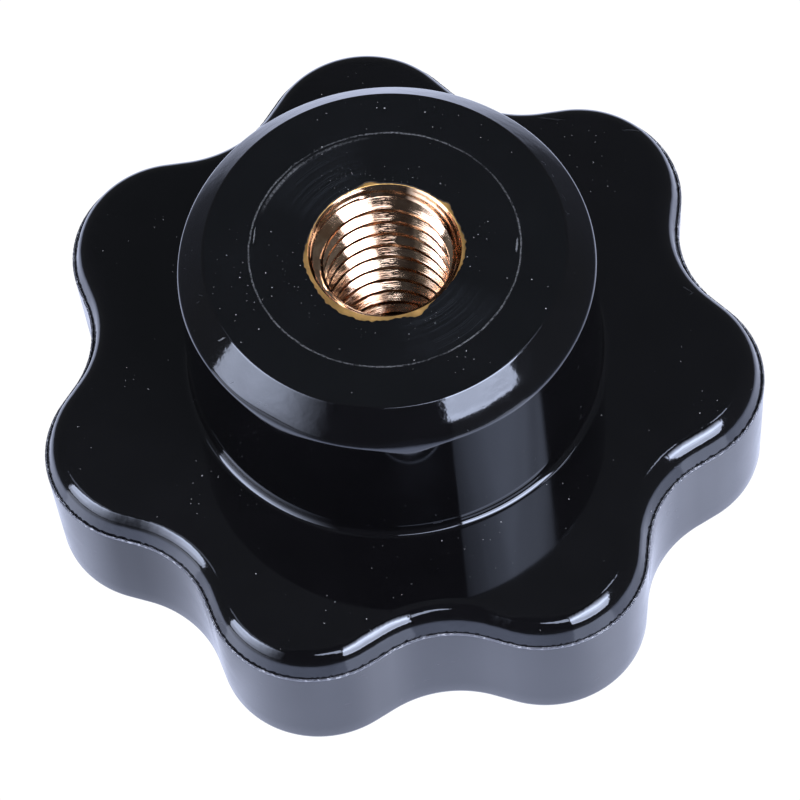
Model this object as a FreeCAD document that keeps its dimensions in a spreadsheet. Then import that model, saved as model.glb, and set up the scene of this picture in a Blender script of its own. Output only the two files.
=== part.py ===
import FreeCAD, Part
import os
import Sketcher
from FreeCAD import Placement, Vector
from math import acos, atan2, cos, hypot, pi, radians, sin, tan

# Star knob: one thermoset moulding with seven grip lobes and a hub, and a brass bush moulded into it.
# The knob lies hub up. Z runs up the thread axis, and the origin is on that axis in the flat underside.
# The first lobe points along +X. All lengths are millimetres and all angles are degrees.

# Driving sizes
SIZES = {
    # star plate
    "lobe_count": 7,
    "outer_diameter": 50.0,        # over the tips of the lobes
    "valley_depth": 3.9,           # from the circle over the tips down to the bottom of a valley
    "lobe_radius": 7.2,            # rounding of a lobe tip, seen in plan
    "flank_length": 1.5,           # straight stretch between a lobe arc and a valley arc
    "face_height": 11.15,          # upper face of the star above the underside
    "bead_radius": 1.35,           # rounded upper edge of the star
    "land_height": 0.5,            # upright land between the rounded edge and the parting line
    "parting_step": 0.42,          # how far the upper mould half stands back at the parting line
    "wall_draft": 2.5,             # taper of the side wall below the parting line
    "foot_chamfer": 0.3,           # eased lower edge
    # hub
    "overall_height": 24.6,
    "hub_diameter": 27.9,          # at the rim, just under the chamfer
    "hub_face_diameter": 24.2,     # flat clamping face inside the chamfer
    "hub_chamfer_height": 2.0,
    "hub_draft": 0.5,
    "hub_root_round": 0.55,        # fillet between the hub and the star's upper face
    "rim_round": 0.3,              # rounding of the rim, below the chamfer
    # brass bush, moulded in
    "nose_diameter": 11.4,         # collar that shows in the hub face
    "nose_length": 2.0,
    "nose_setback": 0.15,          # brass end lies this far below the hub face
    "barrel_diameter": 14.0,
    "barrel_chamfer": 0.5,
    "bush_length": 22.4,           # from the bush's lower end up to the hub face
    "waist_diameter": 11.8,        # groove that locks the bush against pulling out
    "waist_width": 3.0,
    "waist_height": 12.0,          # middle of that groove above the underside
    "knurl_count": 24,
    "knurl_depth": 0.5,
    # thread
    "thread_diameter": 10.0,
    "thread_pitch": 1.5,
    "thread_depth": 18.3,          # full wall of the hole, below the brass end
    "mouth_diameter": 10.2,        # countersink at the brass end
    "drill_point": 118.0,          # cone left by the drill at the bottom of the hole
}

# ISO metric thread: the hole's wall is the major diameter less this share of the pitch
MINOR_SHARE = 1.0825
FULL_TURN = 360
SNAP = 1e-4

doc = FreeCAD.newDocument("star_knob")
sheet = doc.addObject("Spreadsheet::Sheet", "Sizes")
for row, (alias, value) in enumerate(SIZES.items(), start=1):
    sheet.set(f"A{row}", alias.replace("_", " "))
    sheet.set(f"B{row}", str(value))
    sheet.setAlias(f"B{row}", alias)
doc.recompute()


def size(alias):
    return float(getattr(sheet, alias))


# Heights and radii that several pieces share, written once as expressions in the sheet's sizes
PARTING_HEIGHT = "(Sizes.face_height - Sizes.bead_radius - Sizes.land_height)"
RIM_HEIGHT = "(Sizes.overall_height - Sizes.hub_chamfer_height)"
HUB_ROOT_RADIUS = (
    "(Sizes.hub_diameter / 2 + (Sizes.overall_height - Sizes.hub_chamfer_height"
    " - Sizes.face_height) * tan(1 deg * Sizes.hub_draft))"
)
BUSH_BOTTOM = "(Sizes.overall_height - Sizes.bush_length)"
SHOULDER_HEIGHT = "(Sizes.overall_height - Sizes.nose_length)"
BRASS_END = "(Sizes.overall_height - Sizes.nose_setback)"
VALLEY_RADIUS = "(Sizes.outer_diameter / 2 - Sizes.valley_depth)"
MINOR_RADIUS = f"(Sizes.thread_diameter - {MINOR_SHARE} * Sizes.thread_pitch) / 2"


# Sketch helpers
def origin_feature(body, role):
    return next(item for item in body.Origin.OriginFeatures if item.Role == role)


def flat_sketch(body, role, name, height=None):
    sketch = body.newObject("Sketcher::SketchObject", name)
    sketch.AttachmentSupport = [(origin_feature(body, role), "")]
    sketch.MapMode = "FlatFace"
    if height:
        sketch.setExpression("AttachmentOffset.Base.z", height)
    return sketch


def bind(sketch, constraint, expression):
    index = sketch.addConstraint(constraint)
    sketch.setExpression(f"Constraints[{index}]", expression)
    return index


def corner_profile(sketch, corners):
    """Closed outline through corners, each held by its own two distances from the origin."""
    count = len(corners)
    start_radius = size("outer_diameter")
    points = [
        Vector(start_radius + start_radius / 2 * cos(2 * pi * i / count),
               start_radius + start_radius / 2 * sin(2 * pi * i / count), 0)
        for i in range(count)
    ]
    for i in range(count):
        sketch.addGeometry(Part.LineSegment(points[i], points[(i + 1) % count]), False)
    for i in range(count):
        sketch.addConstraint(Sketcher.Constraint("Coincident", i, 2, (i + 1) % count, 1))
    for i, (across, up) in enumerate(corners):
        bind(sketch, Sketcher.Constraint("DistanceX", -1, 1, i, 1, points[i].x), across)
        bind(sketch, Sketcher.Constraint("DistanceY", -1, 1, i, 1, points[i].y), up)


def turned(body, name, corners):
    sketch = flat_sketch(body, "XZ_Plane", f"{name}_profile")
    corner_profile(sketch, corners)
    feature = body.newObject("PartDesign::Revolution", name)
    feature.Profile = sketch
    feature.ReferenceAxis = (sketch, ["V_Axis"])
    feature.Angle = FULL_TURN
    return feature


# Lobe outline
# Every lobe tip is an arc inside the outer circle, and every valley is an arc outside the valley
# circle. A short straight flank joins them, tangent to both, so the valley arc's radius follows.
def valley_arc_radius(outer, valley, lobe, flank, half_pitch):
    centre = outer - lobe
    top = lobe**2 + flank**2 - valley**2 + 2 * valley * centre * cos(half_pitch) - centre**2
    return top / (2 * (valley - lobe - centre * cos(half_pitch)))


def polar(radius, angle):
    return Vector(radius * cos(angle), radius * sin(angle), 0)


def star_outline(sketch, inset_alias=None):
    """Seven lobes, each size drawn in by the inset, fully held by constraints."""
    inset = size(inset_alias) if inset_alias else 0.0
    less = f" - Sizes.{inset_alias}" if inset_alias else ""
    count = int(size("lobe_count"))
    half_pitch = pi / count
    outer = size("outer_diameter") / 2 - inset
    valley = outer - size("valley_depth")
    lobe = size("lobe_radius") - inset
    valley_arc = valley_arc_radius(outer, valley, lobe, size("flank_length"), half_pitch)

    # direction of the flank's normal, measured from the lobe's own axis
    to_valley = polar(valley + valley_arc, half_pitch) - Vector(outer - lobe, 0, 0)
    spread = hypot(to_valley.x, to_valley.y)
    flank_normal = atan2(to_valley.y, to_valley.x) - acos(min(1.0, (lobe + valley_arc) / spread))
    valley_half = flank_normal - half_pitch

    up = Vector(0, 0, 1)
    lobes, valleys, rising, falling, spokes = [], [], [], [], []
    for i in range(count):
        lobe_axis = 2 * half_pitch * i
        valley_axis = lobe_axis + half_pitch
        next_axis = lobe_axis + 2 * half_pitch
        lobe_centre = polar(outer - lobe, lobe_axis)
        valley_centre = polar(valley + valley_arc, valley_axis)
        next_centre = polar(outer - lobe, next_axis)
        lobe_arc = Part.ArcOfCircle(
            Part.Circle(lobe_centre, up, lobe), lobe_axis - flank_normal, lobe_axis + flank_normal)
        hollow_arc = Part.ArcOfCircle(
            Part.Circle(valley_centre, up, valley_arc),
            valley_axis + pi - valley_half, valley_axis + pi + valley_half)
        leaving = Part.LineSegment(
            lobe_centre + polar(lobe, lobe_axis + flank_normal),
            valley_centre - polar(valley_arc, lobe_axis + flank_normal))
        arriving = Part.LineSegment(
            valley_centre - polar(valley_arc, next_axis - flank_normal),
            next_centre + polar(lobe, next_axis - flank_normal))
        lobes.append(sketch.addGeometry(lobe_arc, False))
        valleys.append(sketch.addGeometry(hollow_arc, False))
        falling.append(sketch.addGeometry(leaving, False))
        rising.append(sketch.addGeometry(arriving, False))
        spokes.append(sketch.addGeometry(Part.LineSegment(Vector(), lobe_centre), True))
        spokes.append(sketch.addGeometry(Part.LineSegment(Vector(), valley_centre), True))
    outer_circle = sketch.addGeometry(Part.Circle(Vector(), up, outer), True)
    valley_circle = sketch.addGeometry(Part.Circle(Vector(), up, valley), True)

    for circle in (outer_circle, valley_circle):
        sketch.addConstraint(Sketcher.Constraint("Coincident", circle, 3, -1, 1))
    for i, spoke in enumerate(spokes):
        arc = (lobes, valleys)[i % 2][i // 2]
        sketch.addConstraint(Sketcher.Constraint("Coincident", spoke, 1, -1, 1))
        sketch.addConstraint(Sketcher.Constraint("Coincident", spoke, 2, arc, 3))
    sketch.addConstraint(Sketcher.Constraint("Horizontal", spokes[0]))
    for first, second in zip(spokes, spokes[1:]):
        step = Sketcher.Constraint("Angle", first, 1, second, 1, half_pitch)
        bind(sketch, step, "180 deg / Sizes.lobe_count")
    for i in range(count):
        following = lobes[(i + 1) % count]
        sketch.addConstraint(Sketcher.Constraint("Tangent", lobes[i], 2, falling[i], 1))
        sketch.addConstraint(Sketcher.Constraint("Tangent", falling[i], 2, valleys[i], 2))
        sketch.addConstraint(Sketcher.Constraint("Tangent", valleys[i], 1, rising[i], 1))
        sketch.addConstraint(Sketcher.Constraint("Tangent", rising[i], 2, following, 1))
        sketch.addConstraint(Sketcher.Constraint("Tangent", lobes[i], outer_circle))
        sketch.addConstraint(Sketcher.Constraint("Tangent", valleys[i], valley_circle))
    for i in range(1, count):
        sketch.addConstraint(Sketcher.Constraint("Equal", lobes[0], lobes[i]))
        sketch.addConstraint(Sketcher.Constraint("Equal", valleys[0], valleys[i]))
    bind(sketch, Sketcher.Constraint("Diameter", outer_circle, 2 * outer),
         f"2 * (Sizes.outer_diameter / 2{less})")
    bind(sketch, Sketcher.Constraint("Diameter", valley_circle, 2 * valley),
         f"2 * ({VALLEY_RADIUS}{less})")
    bind(sketch, Sketcher.Constraint("Radius", lobes[0], lobe), f"Sizes.lobe_radius{less}")
    bind(sketch, Sketcher.Constraint("Distance", falling[0], size("flank_length")),
         "Sizes.flank_length")


# Edge finders, by where the edge lies
def level(edge, height):
    return all(abs(vertex.Z - height) < SNAP for vertex in edge.Vertexes)


def around_axis(edge):
    curve = edge.Curve
    return isinstance(curve, Part.Circle) and hypot(curve.Center.x, curve.Center.y) < SNAP


def outline_edges(shape, height):
    return [f"Edge{i}" for i, edge in enumerate(shape.Edges, start=1)
            if level(edge, height) and not around_axis(edge)]


def ring_edges(shape, height, radius):
    return [f"Edge{i}" for i, edge in enumerate(shape.Edges, start=1)
            if level(edge, height) and around_axis(edge) and abs(edge.Curve.Radius - radius) < SNAP]


def rounded(body, name, base, edges, radius_alias):
    feature = body.newObject("PartDesign::Fillet", name)
    feature.Base = (base, edges)
    feature.setExpression("Radius", f"Sizes.{radius_alias}")
    doc.recompute()
    return feature


def eased(body, name, base, edges, size_alias):
    feature = body.newObject("PartDesign::Chamfer", name)
    feature.Base = (base, edges)
    feature.setExpression("Size", f"Sizes.{size_alias}")
    doc.recompute()
    return feature


# The moulding, solid, before the bush takes up its place in it
def make_star_moulding():
    body = doc.addObject("PartDesign::Body", "StarMoulding")
    body.Label = "star_moulding"

    # side wall below the parting line, tapered down to the underside
    lower_outline = flat_sketch(body, "XY_Plane", "lower_outline", PARTING_HEIGHT)
    star_outline(lower_outline)
    wall = body.newObject("PartDesign::Pad", "side_wall")
    wall.Profile = lower_outline
    wall.Reversed = True
    wall.setExpression("Length", PARTING_HEIGHT)
    wall.setExpression("TaperAngle", "-Sizes.wall_draft")

    # upper mould half: land and rounded edge, set back by the step so that a narrow ledge shows
    upper_outline = flat_sketch(body, "XY_Plane", "upper_outline", PARTING_HEIGHT)
    star_outline(upper_outline, "parting_step")
    rim = body.newObject("PartDesign::Pad", "upper_edge")
    rim.Profile = upper_outline
    rim.setExpression("Length", "Sizes.land_height + Sizes.bead_radius")

    hub = turned(body, "hub", [
        ("0", "Sizes.face_height"),
        (HUB_ROOT_RADIUS, "Sizes.face_height"),
        ("Sizes.hub_diameter / 2", RIM_HEIGHT),
        ("Sizes.hub_face_diameter / 2", "Sizes.overall_height"),
        ("0", "Sizes.overall_height"),
    ])
    doc.recompute()

    face = size("face_height")
    rim_height = size("overall_height") - size("hub_chamfer_height")
    root_radius = size("hub_diameter") / 2 + (rim_height - face) * tan(radians(size("hub_draft")))

    bead = rounded(body, "bead", hub, outline_edges(hub.Shape, face), "bead_radius")
    foot = eased(body, "foot", bead, outline_edges(bead.Shape, 0.0), "foot_chamfer")
    root = rounded(body, "hub_root", foot, ring_edges(foot.Shape, face, root_radius), "hub_root_round")
    rounded(body, "hub_rim", root, ring_edges(root.Shape, rim_height, size("hub_diameter") / 2), "rim_round")
    return body


# Brass bush: turned outside with a nose, a straight-knurled barrel and a waist
def make_bush_blank():
    body = doc.addObject("PartDesign::Body", "BushBlank")
    body.Label = "bush_blank"
    barrel = "Sizes.barrel_diameter / 2"
    chamfered = f"{barrel} - Sizes.barrel_chamfer"
    waist = "Sizes.waist_diameter / 2"
    turning = turned(body, "bush_turning", [
        ("0", BUSH_BOTTOM),
        (chamfered, BUSH_BOTTOM),
        (barrel, f"{BUSH_BOTTOM} + Sizes.barrel_chamfer"),
        (barrel, "Sizes.waist_height - Sizes.waist_width / 2"),
        (waist, "Sizes.waist_height - Sizes.waist_width / 2"),
        (waist, "Sizes.waist_height + Sizes.waist_width / 2"),
        (barrel, "Sizes.waist_height + Sizes.waist_width / 2"),
        (barrel, f"{SHOULDER_HEIGHT} - Sizes.barrel_chamfer"),
        (chamfered, SHOULDER_HEIGHT),
        ("Sizes.nose_diameter / 2", SHOULDER_HEIGHT),
        ("Sizes.nose_diameter / 2", "Sizes.overall_height"),
        ("0", "Sizes.overall_height"),
    ])
    doc.recompute()

    # one right-angled groove along the barrel, repeated round it
    groove = flat_sketch(body, "XY_Plane", "knurl_groove", BUSH_BOTTOM)
    outside = f"{barrel} + Sizes.knurl_depth"
    corner_profile(groove, [
        (f"{barrel} - Sizes.knurl_depth", "0"),
        (outside, "2 * Sizes.knurl_depth"),
        (outside, "-2 * Sizes.knurl_depth"),
    ])
    cut = body.newObject("PartDesign::Pocket", "knurl_cut")
    cut.Profile = groove
    cut.Reversed = True
    cut.setExpression("Length", f"{SHOULDER_HEIGHT} - {BUSH_BOTTOM}")
    doc.recompute()
    if not cut.Shape.Volume < turning.Shape.Volume:
        raise RuntimeError("the knurl groove misses the barrel")

    knurl = body.newObject("PartDesign::PolarPattern", "knurl")
    knurl.Originals = [cut]
    knurl.Axis = (origin_feature(body, "Z_Axis"), [""])
    knurl.Angle = FULL_TURN
    knurl.setExpression("Occurrences", "Sizes.knurl_count")
    body.Tip = knurl
    doc.recompute()
    return body


# What is turned away from the blank: the stock above the brass end, the countersink and the hole
def make_bore_form():
    body = doc.addObject("PartDesign::Body", "BoreForm")
    body.Label = "bore_form"
    bore_bottom = f"{BRASS_END} - Sizes.thread_depth"
    cone_tip = f"{bore_bottom} - {MINOR_RADIUS} / tan(1 deg * Sizes.drill_point / 2)"
    sink = f"(Sizes.mouth_diameter / 2 - {MINOR_RADIUS})"
    turned(body, "bore_turning", [
        ("0", cone_tip),
        (MINOR_RADIUS, bore_bottom),
        (MINOR_RADIUS, f"{BRASS_END} - {sink}"),
        ("Sizes.mouth_diameter / 2", BRASS_END),
        ("Sizes.barrel_diameter / 2", BRASS_END),
        ("Sizes.barrel_diameter / 2", "Sizes.overall_height + Sizes.nose_length"),
        ("0", "Sizes.overall_height + Sizes.nose_length"),
    ])
    doc.recompute()
    return body


def cut_away(label, base, tool):
    cut = doc.addObject("Part::Cut", label)
    cut.Label = label
    cut.Base = base
    cut.Tool = tool
    cut.Placement = Placement()
    return cut


star_moulding = make_star_moulding()
bush_blank = make_bush_blank()
bore_form = make_bore_form()

# The resin fills every groove of the bush, so its cavity is the bush's own outside
knob_body = cut_away("knob_body", star_moulding, bush_blank)
threaded_insert = cut_away("threaded_insert", bush_blank, bore_form)
doc.recompute()

# Nothing is written unless every object and both pieces are sound
for item in doc.Objects:
    if "Invalid" in item.State or "Error" in item.State:
        raise RuntimeError(f"{item.Label}: {item.State}")
for piece in (knob_body, threaded_insert):
    if piece.Shape.isNull() or not piece.Shape.isValid():
        raise RuntimeError(f"{piece.Label} has no sound shape")
for item in doc.Objects:
    if item.TypeId == "Sketcher::SketchObject" and not item.FullyConstrained:
        raise RuntimeError(f"{item.Label} is not fully constrained")

os.makedirs("parts", exist_ok=True)
for piece in (knob_body, threaded_insert):
    piece.Shape.exportStep(f"parts/{piece.Label}.step")
    box = piece.Shape.BoundBox
    print(f"{piece.Label}: {piece.Shape.Volume:.1f} mm3, {len(piece.Shape.Solids)} solid, "
          f"{box.XLength:.2f} x {box.YLength:.2f} x {box.ZLength:.2f} mm")
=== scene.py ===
# %% [markdown]
# # A star knob with a brass thread
# The real knob is one black moulding round a turned brass bush, and it stands with its hub up.
# Its looks come from two things: mirror-like moulded faces, and the lights that they mirror.
# The solids give the places and sizes, so the first cell loads them and keeps their box.

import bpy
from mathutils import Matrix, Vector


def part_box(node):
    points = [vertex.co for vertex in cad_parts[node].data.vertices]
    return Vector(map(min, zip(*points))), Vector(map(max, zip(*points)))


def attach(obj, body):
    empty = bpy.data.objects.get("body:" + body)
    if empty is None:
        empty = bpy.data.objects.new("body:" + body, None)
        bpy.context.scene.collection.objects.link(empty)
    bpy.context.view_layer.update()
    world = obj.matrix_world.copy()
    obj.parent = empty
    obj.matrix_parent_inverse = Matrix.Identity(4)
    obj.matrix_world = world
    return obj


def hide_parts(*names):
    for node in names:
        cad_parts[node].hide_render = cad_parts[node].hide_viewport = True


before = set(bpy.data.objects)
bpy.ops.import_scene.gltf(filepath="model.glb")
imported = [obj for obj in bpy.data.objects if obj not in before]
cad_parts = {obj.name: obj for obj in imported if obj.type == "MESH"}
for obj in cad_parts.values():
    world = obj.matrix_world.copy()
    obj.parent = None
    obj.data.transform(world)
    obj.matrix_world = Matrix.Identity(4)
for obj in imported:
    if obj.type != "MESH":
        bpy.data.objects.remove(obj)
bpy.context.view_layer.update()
print("nodes:", sorted(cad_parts))

# %% [markdown]
# ## Sizes
# A maker of this knob would read its sizes from a drawing in millimetres.
# The hub's top and the bush's two ends come from the solids' boxes, and the rest repeats the drawing.
# All of it is turned into metres once, here, so that later cells only use names.

# %% Sizes
import math

import bmesh
import bpy
import numpy as np
from mathutils import Matrix, Vector

MM = 0.001
MICRON = 0.001 * MM
_, body_high = (Vector(corner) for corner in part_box("knob_body"))
bush_low, bush_high = (Vector(corner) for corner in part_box("threaded_insert"))

LOBES = 7
TIP_RADIUS = 25.0 * MM
VALLEY_RADIUS = 21.1 * MM
LOBE_RADIUS = 7.2 * MM
FLANK = 1.5 * MM
FACE_HEIGHT = 11.15 * MM
PARTING_HEIGHT = 9.3 * MM
PARTING_STEP = 0.42 * MM
BEAD_RADIUS = 1.35 * MM
WALL_DRAFT = math.radians(2.5)

HUB_TOP = body_high.z
RIM_HEIGHT = HUB_TOP - 2.0 * MM
RIM_RADIUS = 13.95 * MM
HUB_FACE_RADIUS = 12.1 * MM
HUB_DRAFT = math.radians(0.5)
ROOT_ROUND = 0.5 * MM
WITNESS_RADIUS = 9.02 * MM

BUSH_TOP = bush_high.z
BUSH_FOOT = bush_low.z
NOSE_RADIUS = 5.7 * MM
SHOULDER_HEIGHT = HUB_TOP - 2.0 * MM
BARREL_RADIUS = 7.0 * MM
print("hub top", round(HUB_TOP / MM, 2), "mm")
print("bush from", round(BUSH_FOOT / MM, 2), "to", round(BUSH_TOP / MM, 2), "mm")

# %% [markdown]
# ## The camera
# The knob fills a square picture and is seen from 60 degrees above, through a long lens.
# A camera can be aimed with a constraint, but a matrix shows what it is: three axes and a place.
# The three axes are the picture's right, its up, and the way back from the knob to the lens.

# %% Camera
CAMERA_AZIMUTH = math.radians(-79.03)
CAMERA_ELEVATION = math.radians(60.08)
CAMERA_ROLL = math.radians(-6.224)
CAMERA_DISTANCE = 463.47 * MM
CAMERA_ASIDE = -0.32 * MM
CAMERA_ABOVE = 2.2 * MM
LENS = 301.25


def direction(azimuth, elevation):
    """The unit vector that points to an azimuth and an elevation."""
    flat = math.cos(elevation)
    return Vector((flat * math.cos(azimuth), flat * math.sin(azimuth), math.sin(elevation)))


def place_camera():
    """Adds the camera and makes it the scene's own."""
    back = direction(CAMERA_AZIMUTH, CAMERA_ELEVATION)
    level_right = Vector((-math.sin(CAMERA_AZIMUTH), math.cos(CAMERA_AZIMUTH), 0))
    level_up = back.cross(level_right)
    right = level_right * math.cos(CAMERA_ROLL) + level_up * math.sin(CAMERA_ROLL)
    up = back.cross(right)
    spot = back * CAMERA_DISTANCE + right * CAMERA_ASIDE + up * CAMERA_ABOVE
    camera_data = bpy.data.cameras.new("camera")
    camera_data.lens = LENS
    camera = bpy.data.objects.new("camera", camera_data)
    axes = Matrix((right, up, back)).transposed().to_4x4()
    camera.matrix_world = Matrix.Translation(spot) @ axes
    bpy.context.scene.collection.objects.link(camera)
    bpy.context.scene.camera = camera
    return camera


camera = place_camera()
bpy.context.scene.view_settings.view_transform = "Standard"
print("camera stands at", [round(v / MM, 1) for v in camera.location], "mm")

# %% [markdown]
# ## Small helpers for shader nodes
# Every finish below is a tree of shader nodes, and each tree is made by code.
# One helper adds a node, sets its inputs and links what it is given, so a finish reads like a recipe.
# Two more add the sums, for numbers and for vectors.


# %% Node helpers
def add_node(tree, kind, settings=None, **inputs):
    """Adds a node to a tree. Inputs are values or sockets, and their names use _ for a space."""
    node = tree.nodes.new(kind)
    for name, value in (settings or {}).items():
        setattr(node, name, value)
    for name, value in inputs.items():
        by_place = name[1:].isdigit()
        socket = node.inputs[int(name[1:])] if by_place else node.inputs[name.replace("_", " ")]
        if isinstance(value, bpy.types.NodeSocket):
            tree.links.new(value, socket)
        else:
            socket.default_value = value
    return node


def math_node(tree, operation, *given):
    """Adds a Math node and gives its result."""
    inputs = {f"i{place}": value for place, value in enumerate(given)}
    return add_node(tree, "ShaderNodeMath", {"operation": operation}, **inputs).outputs[0]


def vector_node(tree, operation, *given):
    """Adds a Vector Math node and gives its result, which is a number for a length or a product."""
    inputs = {f"i{place}": value for place, value in enumerate(given)}
    node = add_node(tree, "ShaderNodeVectorMath", {"operation": operation}, **inputs)
    return node.outputs["Value" if operation in ("DISTANCE", "LENGTH", "DOT_PRODUCT") else "Vector"]


# %% [markdown]
# Three effects turn up in almost every tree: a soft step, a factor that follows a mask, and noise.
# A colour ramp could do the first two, but its stops are harder to name than a low and a high.


# %% Steps, factors and noise
def smooth_step(tree, value, low, high):
    """Zero below low, one above high and a soft rise between, for a socket's value."""
    settings = {"interpolation_type": "SMOOTHSTEP"}
    node = add_node(tree, "ShaderNodeMapRange", settings, Value=value, From_Min=low, From_Max=high)
    return node.outputs["Result"]


def varied(tree, value, mask, low, high):
    """A value times a factor, which goes from low to high as the mask goes from 0 to 1."""
    return math_node(tree, "MULTIPLY", value, math_node(tree, "MULTIPLY_ADD", mask, high - low, low))


def noise(tree, place, per_mm, detail, output="Fac"):
    """Noise over a place, with about so many clouds to a millimetre."""
    node = add_node(tree, "ShaderNodeTexNoise", Vector=place, Scale=per_mm / MM, Detail=detail)
    return node.outputs[output]


def empty_material(name):
    """A new material whose tree holds nothing yet."""
    material = bpy.data.materials.new(name)
    material.use_nodes = True
    material.node_tree.nodes.clear()
    return material


# %% [markdown]
# ## The table
# The knob stands on a pale sheet that is lit until it is pure white.
# The glossy walls mirror the sheet near the knob, and further out they mirror a darker room.
# So the sheet's glow, a painted pool of light, fades with distance, and only the camera sees it white
# everywhere.
# The knob's shade round its foot, deepest at the front on the left, is a painted shadow in that glow.

# %% The sheet's glow
SHEET_STRENGTH = 1.55
SHEET_BRIGHT_RADIUS = 38 * MM
SHEET_DIM_RADIUS = 76 * MM
ROOM_GLOW = 0.11
# From here to there the knob's painted shadow ends, and the sheet's glow gets brighter by this share
OPEN_FROM = 28 * MM
OPEN_TO = 42 * MM
OPEN_SHARE = 0.25
# A deeper painted shadow of the knob lies here, at the front on the left
PAINTED_SHADE_PLACE = direction(math.radians(228), 0) * 27 * MM
PAINTED_SHADE_CORE = 2.7 * MM
PAINTED_SHADE_RADIUS = 9 * MM
PAINTED_SHADE_DEPTH = 0.35
UNEVEN_PER_MM = 0.11
UNEVEN_SHARE = 0.2


def sheet_glow(tree, place):
    """How strongly the sheet glows at a place, to everything but the camera: a painted pool of light,
    with the knob's painted shadow in it.
    """
    far = vector_node(tree, "LENGTH", place)
    fade = smooth_step(tree, far, SHEET_DIM_RADIUS, SHEET_BRIGHT_RADIUS)
    glow = math_node(tree, "MULTIPLY_ADD", fade, SHEET_STRENGTH - ROOM_GLOW, ROOM_GLOW)
    glow = varied(tree, glow, smooth_step(tree, far, OPEN_FROM, OPEN_TO), 1, 1 + OPEN_SHARE)
    lit = smooth_step(tree, vector_node(tree, "DISTANCE", place, PAINTED_SHADE_PLACE), PAINTED_SHADE_CORE, PAINTED_SHADE_RADIUS)
    glow = varied(tree, glow, lit, 1 - PAINTED_SHADE_DEPTH, 1)
    uneven = noise(tree, place, UNEVEN_PER_MM, 1)
    return varied(tree, glow, uneven, 1 - UNEVEN_SHARE, 1 + UNEVEN_SHARE)


print("sheet bright to", SHEET_BRIGHT_RADIUS / MM, "mm, dim from", SHEET_DIM_RADIUS / MM, "mm")

# %% [markdown]
# The sheet is one big quad. It is glossy itself, so the walls also mirror the lights in it.
# A Light Path node tells the camera's rays from all others, so one surface can be white for the
# camera and a painted pool of light for the rest. The room round the knob works in the same way.

# %% Sheet and room
SHEET_SIZE = 4.0
SHEET_COLOUR = (0.71, 0.77, 1.0, 1.0)
SHEET_GLOSS = 0.12
SHEET_IOR = 1.5
ROOM_COLOUR = (0.94, 0.97, 1.0, 1.0)
WHITE = (1, 1, 1, 1)
PURE_WHITE = 1.05


def white_to_camera(tree, light, shader, output):
    """Ends a tree: pure white to the camera, and the shader to everything that mirrors it."""
    white = add_node(tree, light, Color=WHITE, Strength=PURE_WHITE).outputs[0]
    seen = add_node(tree, "ShaderNodeLightPath").outputs["Is Camera Ray"]
    both = add_node(tree, "ShaderNodeMixShader", i0=seen, i1=shader, i2=white).outputs[0]
    add_node(tree, output, Surface=both)


def sheet_material():
    """A painted pool of soft light under a gloss that grows towards grazing rays."""
    material = empty_material("pale_sheet")
    tree = material.node_tree
    glow = sheet_glow(tree, add_node(tree, "ShaderNodeTexCoord").outputs["Object"])
    pool = add_node(tree, "ShaderNodeEmission", Color=SHEET_COLOUR, Strength=glow).outputs[0]
    mirror = add_node(tree, "ShaderNodeBsdfGlossy", Color=WHITE, Roughness=SHEET_GLOSS).outputs[0]
    grazing = add_node(tree, "ShaderNodeFresnel", IOR=SHEET_IOR).outputs[0]
    pool = add_node(tree, "ShaderNodeMixShader", i0=grazing, i1=pool, i2=mirror).outputs[0]
    white_to_camera(tree, "ShaderNodeEmission", pool, "ShaderNodeOutputMaterial")
    return material


def flat_panel(name, corners, material):
    """A four-cornered panel with a square of texture coordinates."""
    mesh = bpy.data.meshes.new(name)
    mesh.from_pydata([tuple(corner) for corner in corners], [], [(0, 1, 2, 3)])
    layer = mesh.uv_layers.new(name="square")
    for loop, place in zip(layer.data, ((0, 0), (1, 0), (1, 1), (0, 1))):
        loop.uv = place
    mesh.materials.append(material)
    panel = bpy.data.objects.new(name, mesh)
    bpy.context.scene.collection.objects.link(panel)
    return panel


def dim_room():
    """The world is a dim room to everything that mirrors it."""
    world = bpy.data.worlds.new("room")
    bpy.context.scene.world = world
    world.use_nodes = True
    tree = world.node_tree
    tree.nodes.clear()
    room = add_node(tree, "ShaderNodeBackground", Color=ROOM_COLOUR, Strength=ROOM_GLOW).outputs[0]
    white_to_camera(tree, "ShaderNodeBackground", room, "ShaderNodeOutputWorld")


half = SHEET_SIZE / 2
sheet_corners = [(-half, -half, 0), (half, -half, 0), (half, half, 0), (-half, half, 0)]
flat_panel("pale_sheet", sheet_corners, sheet_material())
dim_room()
print("sheet of", SHEET_SIZE, "m, in a room with a glow of", ROOM_GLOW)

# %% [markdown]
# ## The lights
# Black gloss has almost no colour of its own, so its picture is made of what it mirrors.
# Two soft panels do most of it: one low on the left, and a taller, brighter one on the right.
# A weak panel above the left one lights the thread, and thin tails draw out the long highlights.
# Between the two the front is dark, a painted shade given by a dim panel. Each panel hangs between four
# directions, seen from the knob.

# %% Lights
PANEL_DISTANCE = 0.7
GAP_DISTANCE = 1.6 * PANEL_DISTANCE
COOL_WHITE = (0.84, 0.87, 1.0, 1.0)
FOLDS = (1.5, 16, 1)
ARCH_POWER = 3
CORNER_POWER = 8


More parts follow.
